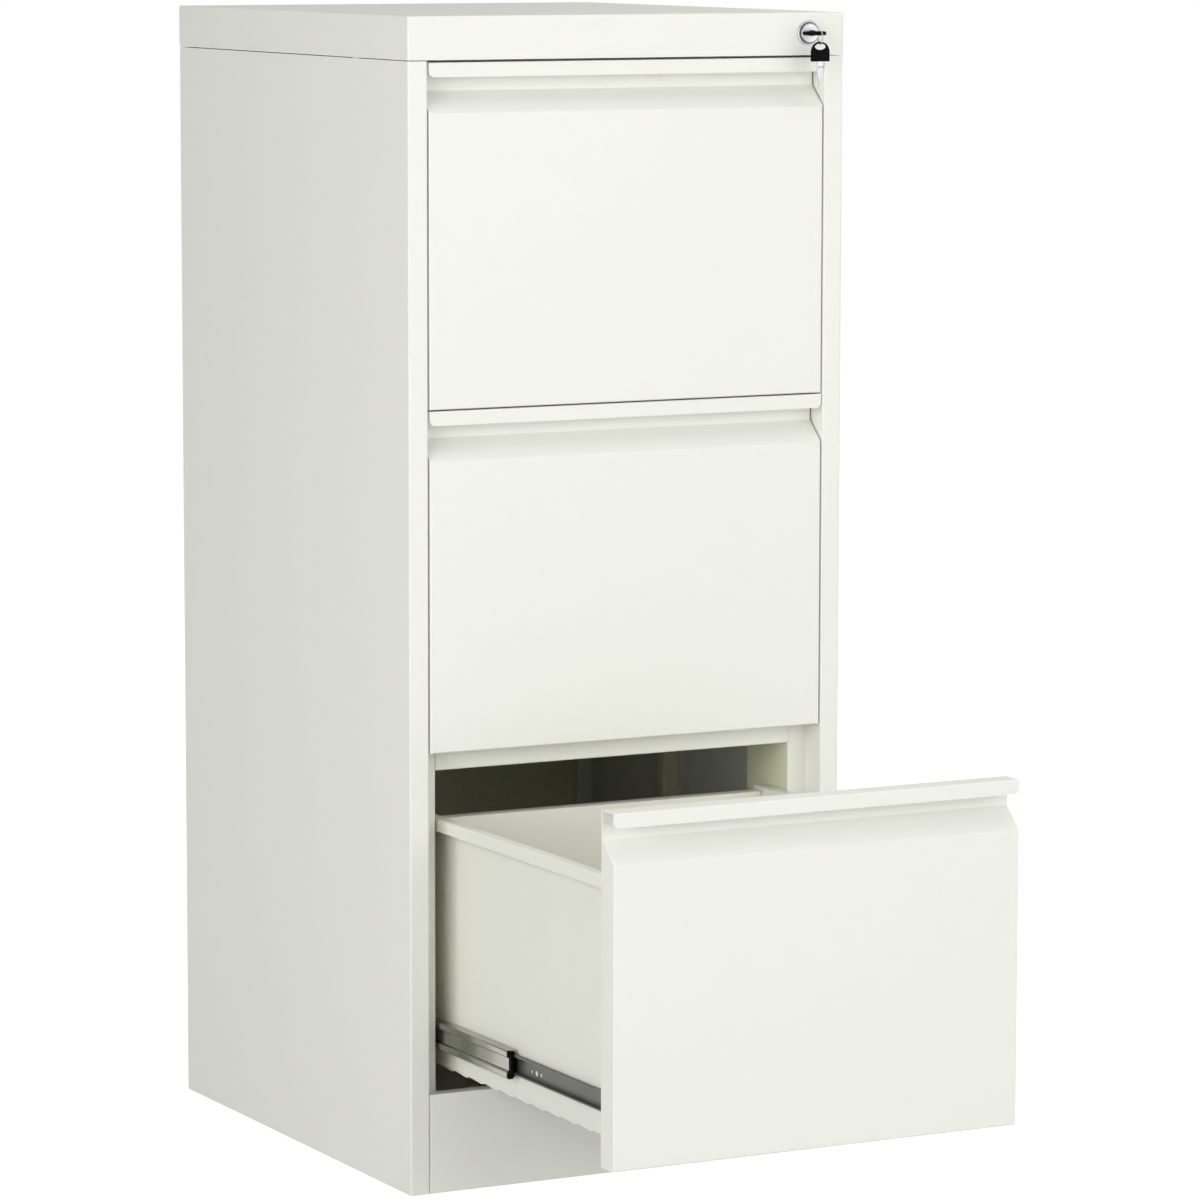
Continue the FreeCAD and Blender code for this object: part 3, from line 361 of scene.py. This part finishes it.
# Lock: its axis and faces come from the frame, in millimetres
plug_low, plug_high = box_in_mm("lock_plug")
LOCK_X = (plug_low[0] + plug_high[0]) / 2
LOCK_Z = (plug_low[2] + plug_high[2]) / 2
PLUG_FACE_Y = plug_low[1]
BAND_FACE_Y = box_in_mm("top_cover")[0][1]
BARREL_REAR_Y = box_in_mm("lock_barrel")[1][1]
BEZEL_RADIUS = 11.2
BARREL_RADIUS = 9.5
BARREL_BORE = 6.05
THREAD_ROOT = 9.15
THREAD_END = 9.0
THREAD_PITCH = 1.0
THREAD_TURNS = 18
THREAD_START = 0.6
LATHE_SIDES = 96

# Section of the bezel: radius, and how far ahead of the band's face
BEZEL_SECTION = (
    (BARREL_RADIUS, -0.7), (BEZEL_RADIUS, -0.3), (BEZEL_RADIUS, 0.6), (11.0, 1.2), (10.6, 1.55), (10.1, 1.6),
    (9.7, 1.4), (9.3, 0.9), (8.95, 0.4), (8.75, 0.3), (BARREL_BORE, 0.2),
)

# Keys, in millimetres: the head in the lock fills the frame's key head
HEAD_OFF_PLUG = 1.4
head_low, head_high = box_in_mm("key_head")
HEAD_WIDTH = head_high[0] - head_low[0]
HEAD_LENGTH = PLUG_FACE_Y - HEAD_OFF_PLUG - head_low[1]
HEAD_THICKNESS = 3.3
HEAD_HOLE = (12.0, 5.6)
HEAD_WEB = 1.6
HEAD_EDGE = 0.7
HEAD_STEPS = 180
EDGE_STEPS = 5
TINY = 1e-6
FAR = 1e6
BOSS_RADIUS = 2.5
BOSS_LENGTH = 4.6
BOSS_CORNER = 0.7
BOSS_GAP = 0.2
PINHOLE = 0.05
BLADE_LENGTH = 22.7
BLADE_IN_HEAD = 0.6
BLADE_HALF_WIDTH = 3.5
STEP_START = 7.9
STEP_RUN = 0.8
STEP_INSET = 0.65
TAPER_START = 14.6
TAPER_RUN = 2.2
TAPER_INSET = 1.2
POINT_START = 16.6
POINT_INSET = 0.7
BLADE_HALF_THICKNESS = 1.0
BLADE_THINNING = 0.7
GROOVE_DEPTH = 0.28
GROOVE_WIDTH = 0.6
GROOVE_START = 6.0
GROOVE_RUN = 3.0
PIT_DEPTH = 1.2
PIT_RADIUS = 0.75
PIT_ASIDE = 1.6
PIT_REACH = 5.5
BLADE_ROWS = 161
BLADE_COLUMNS = 61

# Split ring and the spare key on it, in millimetres and radians, measured from the middle of the plug's face
RING_RADIUS = 5.9
WIRE_RADIUS = 0.32
RING_DROP = 3.6
RING_TURN = -0.19
RING_FORWARD = 17.9
RING_ENDS = (0.06, 1.94)
RING_FIRST_END = 0.9
RING_STEP = 2.05
RING_STEP_STEEPNESS = 14
RING_POINTS = 190
WIRE_SIDES = 12
NEARLY_X = (1.0, 0.03, 0.02)
SPARE_FORWARD = 17.5
SPARE_DROP = 7.2


def arch_outline(angle):
    """Distance from the hole's centre to the head's edge at each angle; angle 90 degrees is the rounded end.

    The edge is a half circle over a square: the ray is cut by the circle above its middle, and by the
    sides and the flat end below it."""
    half = HEAD_WIDTH / 2
    up = HEAD_WEB + HEAD_HOLE[1] / 2 - half
    cos, sin = np.cos(angle), np.sin(angle)
    to_circle = sin * up + np.sqrt(half ** 2 - (cos * up) ** 2)
    to_side = half / np.maximum(np.abs(cos), TINY)
    flat_end = HEAD_LENGTH - HEAD_WEB - HEAD_HOLE[1] / 2
    to_flat_end = np.where(sin < 0, flat_end / np.maximum(-sin, TINY), FAR)
    above = to_circle * sin > up
    return np.where(above, to_circle, np.minimum(to_side, to_flat_end))


def oval_outline(angle):
    """Distance from the hole's centre to its edge: an ellipse, a b / sqrt((b cos)^2 + (a sin)^2)."""
    a, b = HEAD_HOLE[0] / 2, HEAD_HOLE[1] / 2
    return a * b / np.hypot(b * np.cos(angle), a * np.sin(angle))


def key_head(name, centre, across, upward, body):
    """Moulded head with an oval hole: a closed band from the hole's edge to the outer edge.

    At each angle round the hole the section is a rectangle with quarter-round corners, from the hole's
    outline to the arch's outline, as thick as the head: on a corner of turn t the inset from the outline
    is edge (1 - cos t) and the drop from the face edge (1 - sin t)."""
    angles = one_turn(HEAD_STEPS)
    inner, outer = oval_outline(angles), arch_outline(angles)
    turns = np.linspace(0, np.pi / 2, EDGE_STEPS)
    inset = HEAD_EDGE * (1 - np.cos(turns))
    level = HEAD_THICKNESS / 2 - HEAD_EDGE * (1 - np.sin(turns))
    outside = [outer - d for d in inset]
    inside = [inner + d for d in inset[::-1]]
    radii = np.stack(outside + inside + inside[::-1] + outside[::-1], axis=1)
    levels = np.concatenate([level, level[::-1], -level, -level[::-1]])
    across, upward = np.array(across, float), np.array(upward, float)
    normal = np.cross(across, upward)
    points = (np.array(centre) + (radii * np.cos(angles)[:, None])[..., None] * across
              + (radii * np.sin(angles)[:, None])[..., None] * upward + levels[None, :, None] * normal)
    return add_piece(name, points, grid_faces(*radii.shape, True, True), body, "black_plastic")


def share_of(reach, start, run):
    """0 up to start, 1 from start + run on, and even in between."""
    return np.clip((reach - start) / run, 0, 1)


def smooth(share):
    """Eases from 0 to 1: 3 t^2 - 2 t^3."""
    return share ** 2 * (3 - 2 * share)


def blade_half_width(reach):
    """Half width of the blade at a distance from the head: wide by the head, a step, a taper and a point."""
    step = smooth(share_of(reach, STEP_START, STEP_RUN))
    taper = smooth(share_of(reach, TAPER_START, TAPER_RUN))
    point = share_of(reach, POINT_START, BLADE_LENGTH - POINT_START)
    return BLADE_HALF_WIDTH - STEP_INSET * step - TAPER_INSET * taper - POINT_INSET * point


def key_blade(name, root, along, across, body):
    """Dimple-cut blade: a flat rounded section with a groove down its middle and two pits by the head.

    Over the width w from -1 to 1 the half thickness falls by the thinning times w^10. It is less by the
    groove, depth exp(-(x / width)^2) past the groove's start, and on the side that faces out by two pits,
    depth exp(-(r / radius)^4)."""
    along, across = np.array(along, float), np.array(across, float)
    normal = np.cross(along, across)
    reach = np.linspace(0, BLADE_LENGTH, BLADE_ROWS)[:, None]
    share = np.linspace(-1, 1, BLADE_COLUMNS)[None, :]
    x = share * blade_half_width(reach)
    thick = BLADE_HALF_THICKNESS - BLADE_THINNING * share ** 10
    groove = GROOVE_DEPTH * np.exp(-(x / GROOVE_WIDTH) ** 2) * share_of(reach, GROOVE_START, GROOVE_RUN)
    away = [np.hypot(x - side * PIT_ASIDE, reach - PIT_REACH) for side in (-1, 1)]
    pits = sum(PIT_DEPTH * np.exp(-(r / PIT_RADIUS) ** 4) for r in away)
    face, rear = thick - groove - pits, -(thick - groove)
    spread = np.concatenate([x, x[:, ::-1]], axis=1)
    height = np.concatenate([face, rear[:, ::-1]], axis=1)
    points = (np.array(root) + reach[..., None] * along + spread[..., None] * across
              + height[..., None] * normal)
    return add_piece(name, points, capped_faces(*spread.shape), body, "key_steel")


def swept_round(centres, radius):
    """Circles of one radius square to a line of points, which never runs along X."""
    run = np.gradient(centres, axis=0)
    run /= np.linalg.norm(run, axis=1, keepdims=True)
    side = np.cross(run, NEARLY_X)
    side /= np.linalg.norm(side, axis=1, keepdims=True)
    third = np.cross(side, run)
    turn = one_turn(WIRE_SIDES)
    return (centres[:, None] + radius * np.cos(turn)[None, :, None] * side[:, None]
            + radius * np.sin(turn)[None, :, None] * third[:, None])


def split_ring():
    """Split ring: a wire wound a little under two turns, stepping sideways by its own width half way round.

    After t turns it stands sideways by the step times 1 / (1 + exp(-steepness (t - 1))) - 1/2."""
    turns = np.linspace(*RING_ENDS, RING_POINTS)
    angle = 2 * np.pi * turns + RING_FIRST_END
    shift = WIRE_RADIUS * RING_STEP * (1 / (1 + np.exp(-(turns - 1.0) * RING_STEP_STEEPNESS)) - 0.5)
    flat = np.stack([shift, RING_RADIUS * np.cos(angle), RING_RADIUS * np.sin(angle)], axis=1)
    cos, sin = np.cos(RING_TURN), np.sin(RING_TURN)
    x, y, z = flat.T
    turned = np.stack([x * cos - y * sin, x * sin + y * cos, z], axis=1)
    centre = np.array((LOCK_X, PLUG_FACE_Y - RING_FORWARD, LOCK_Z - RING_DROP))
    points = swept_round(turned + centre, WIRE_RADIUS)
    return add_piece("split_ring", points, capped_faces(RING_POINTS, WIRE_SIDES), "cabinet", "key_steel")


def spare_key():
    """Spare key that hangs from the ring, parallel to the cabinet's front."""
    x, y, top = LOCK_X, PLUG_FACE_Y - SPARE_FORWARD, LOCK_Z - SPARE_DROP
    hole_z = top - HEAD_WEB - HEAD_HOLE[1] / 2
    blade_z = top - HEAD_LENGTH + BLADE_IN_HEAD
    key_head("spare_key_head", (x, y, hole_z), (1, 0, 0), (0, 0, 1), "cabinet")
    key_blade("spare_key_blade", (x, y, blade_z), (0, 0, -1), (1, 0, 0), "cabinet")


def turned_piece(name, profile, body, finish):
    """A closed profile of (radius, place along Y) pairs turned once about the lock's axis.

    The profile runs from the front to the rear on its outer side, so that the faces point outwards."""
    turn = one_turn(LATHE_SIDES)
    radius, reach = (np.array(column)[:, None] for column in zip(*profile))
    x, z = LOCK_X + radius * np.cos(turn), LOCK_Z + radius * np.sin(turn)
    points = np.stack([x, np.broadcast_to(reach, x.shape), z], axis=2)
    return add_piece(name, points, grid_faces(len(profile), LATHE_SIDES, True, True), body, finish)


def lock_key_head():
    """Head of the key in the lock, lying flat, in place of the plain one, with its round boss at the plug."""
    root = PLUG_FACE_Y - HEAD_OFF_PLUG
    hole_y = root - HEAD_LENGTH + HEAD_WEB + HEAD_HOLE[1] / 2
    head = key_head("lock_key_head", (LOCK_X, hole_y, LOCK_Z), (1, 0, 0), (0, -1, 0), "lock_plug")
    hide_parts("key_head")
    front, rear = root - BOSS_LENGTH, PLUG_FACE_Y - BOSS_GAP
    boss = [(PINHOLE, front), (BOSS_RADIUS - BOSS_CORNER, front), (BOSS_RADIUS, front + BOSS_CORNER),
            (BOSS_RADIUS, rear), (PINHOLE, rear)]
    turned_piece("lock_key_boss", boss, "lock_plug", "black_plastic")


def lock_housing():
    """Lock housing: a rounded bezel that slopes down to the seat of the plug, and the threaded barrel."""
    bezel = [(radius, BAND_FACE_Y - ahead) for radius, ahead in BEZEL_SECTION]
    rear = [(BARREL_BORE, BARREL_REAR_Y), (THREAD_END, BARREL_REAR_Y)]
    thread = []
    for n in range(THREAD_TURNS):
        root_y = BARREL_REAR_Y - THREAD_START - n * THREAD_PITCH
        thread += [(THREAD_ROOT, root_y), (BARREL_RADIUS, root_y - THREAD_PITCH / 2)]
    profile = (bezel + rear + thread)[::-1]
    housing = turned_piece("lock_housing", profile, "cabinet", "lock_chrome")
    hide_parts("lock_barrel")


# Light and ground, in metres
FLOOR_HALF = 14.0
FLOOR_LEVEL = -0.0002
FLOOR_GREY = (0.55, 0.55, 0.55, 1)
FLOOR_GLOW = 0.86
WHITE = (1, 1, 1, 1)
WORLD_LEVEL = 0.27
LIT_MIDDLE = (0.0, -0.1, 0.55)


def add_floor():
    """Pale ground that glows towards the camera, gloss and glass, so that it shows white where it is lit."""
    h, z = FLOOR_HALF, FLOOR_LEVEL
    mesh = bpy.data.meshes.new("floor")
    mesh.from_pydata([(-h, -h, z), (h, -h, z), (h, h, z), (-h, h, z)], [], [(0, 1, 2, 3)])
    floor = bpy.data.objects.new("floor", mesh)
    bpy.context.scene.collection.objects.link(floor)
    s = Finish("ground")
    surface = s.finish(Base_Color=FLOOR_GREY, Roughness=0.9, Specular_IOR_Level=0.0)
    camera, gloss, glass = (s.node("ShaderNodeLightPath", output=f"Is {ray} Ray")
                            for ray in ("Camera", "Glossy", "Transmission"))
    shown = s.node("ShaderNodeMath", {"operation": "ADD", "use_clamp": True}, {0: camera + gloss, 1: glass})
    s.feed(s.surface, {"Emission Color": WHITE, "Emission Strength": shown * FLOOR_GLOW})
    mesh.materials.append(surface)


def add_lamp(name, bearing, rise, distance, size, power):
    """A square soft lamp that faces the cabinet's middle.

    Bearing and rise are in degrees: bearing 0 is in front of the cabinet, 90 to the left seen from there."""
    bearing, rise = np.radians(bearing), np.radians(rise)
    level = np.cos(rise)
    way = np.array([-np.sin(bearing) * level, -np.cos(bearing) * level, np.sin(rise)])
    data = bpy.data.lights.new(name, "AREA")
    data.shape = "SQUARE"
    data.size = size
    data.energy = power
    lamp = bpy.data.objects.new(name, data)
    turned = Vector(-way).to_track_quat("-Z", "Y").to_matrix().to_4x4()
    lamp.matrix_world = Matrix.Translation(np.array(LIT_MIDDLE) + distance * way) @ turned
    bpy.context.scene.collection.objects.link(lamp)


def add_world():
    """Even light from all round, at its own level, which the camera and rays through glass see as white."""
    world = bpy.data.worlds.new("studio")
    world.use_nodes = True
    bpy.context.scene.world = world
    s = Shader(world.node_tree)
    camera, glass = (s.node("ShaderNodeLightPath", output=f"Is {ray} Ray")
                     for ray in ("Camera", "Transmission"))
    shown = s.node("ShaderNodeMath", {"operation": "MAXIMUM"}, {0: camera, 1: glass})
    level = s.node("ShaderNodeMapRange", {}, {"Value": shown, "To Min": WORLD_LEVEL, "To Max": 1.0})
    s.feed(s.tree.nodes["Background"], {"Color": WHITE, "Strength": level})


def add_light():
    """Even white light, and soft lamps on the left and right, in front, overhead, and behind on the right."""
    add_world()
    add_lamp("left_lamp", bearing=60, rise=10, distance=3.6, size=2.4, power=70)
    add_lamp("right_lamp", bearing=-35, rise=10, distance=4.2, size=3.4, power=67)
    add_lamp("front_lamp", bearing=0, rise=5, distance=3.6, size=2.4, power=21)
    add_lamp("top_lamp", bearing=0, rise=80, distance=2.8, size=2.4, power=23)
    add_lamp("rear_lamp", bearing=-125, rise=35, distance=3.6, size=2.4, power=26)


add_camera()
dress_frame()
split_ring()
spare_key()
lock_key_head()
lock_housing()
add_floor()
add_light()
bpy.context.scene.view_settings.view_transform = "Standard"
